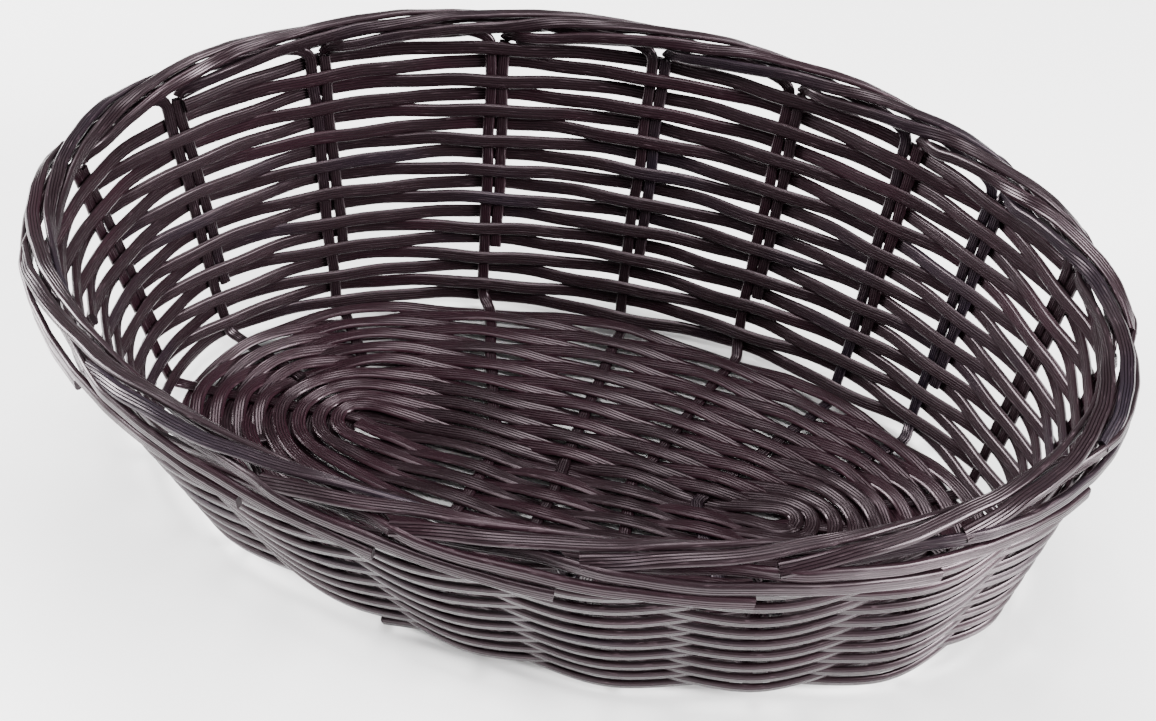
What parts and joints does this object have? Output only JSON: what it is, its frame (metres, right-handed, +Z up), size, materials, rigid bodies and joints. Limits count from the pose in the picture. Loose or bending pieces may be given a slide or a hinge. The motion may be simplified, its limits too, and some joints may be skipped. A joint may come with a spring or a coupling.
{
  "type": "oval woven basket",
  "caption": "Shallow oval fruit basket woven from flat ribbed plastic strand, with flared sides and a rolled border.",
  "frame": {"origin": "on the surface the basket stands on, under the middle of the oval", "axes": "+X along the long axis towards the lower end of the rim, +Y across the basket, +Z up"},
  "size_m": [0.2349, 0.1724, 0.0764],
  "materials": {
    "stake": "ribbed extruded polypropylene strand, dark plum brown, satin",
    "weaver": "ribbed extruded polypropylene strand, dark plum brown, satin"
  },
  "bodies": {
    "root": {"bye_stake_01": "stake", "bye_stake_02": "stake", "bye_stake_03": "stake", "bye_stake_04": "stake", "bye_stake_05": "stake", "bye_stake_06": "stake", "bye_stake_07": "stake", "bye_stake_08": "stake", "bye_stake_09": "stake", "bye_stake_10": "stake", "bye_stake_11": "stake", "bye_stake_12": "stake", "bye_stake_13": "stake", "bye_stake_14": "stake", "bye_stake_15": "stake", "bye_stake_16": "stake", "bye_stake_17": "stake", "bye_stake_18": "stake", "cross_stake_01": "stake", "cross_stake_02": "stake", "cross_stake_03": "stake", "cross_stake_04": "stake", "end_stake_01": "stake", "end_stake_02": "stake", "end_stake_03": "stake", "end_stake_04": "stake", "end_stake_05": "stake", "end_stake_06": "stake", "end_stake_07": "stake", "end_stake_08": "stake", "floor_weaver_01": "weaver", "floor_weaver_02": "weaver", "floor_weaver_03": "weaver", "floor_weaver_04": "weaver", "spine_stake": "stake", "wall_weaver_01": "weaver", "wall_weaver_02": "weaver", "wall_weaver_03": "weaver", "wall_weaver_04": "weaver", "wall_weaver_05": "weaver", "wall_weaver_06": "weaver"}
  },
  "joints": []
}
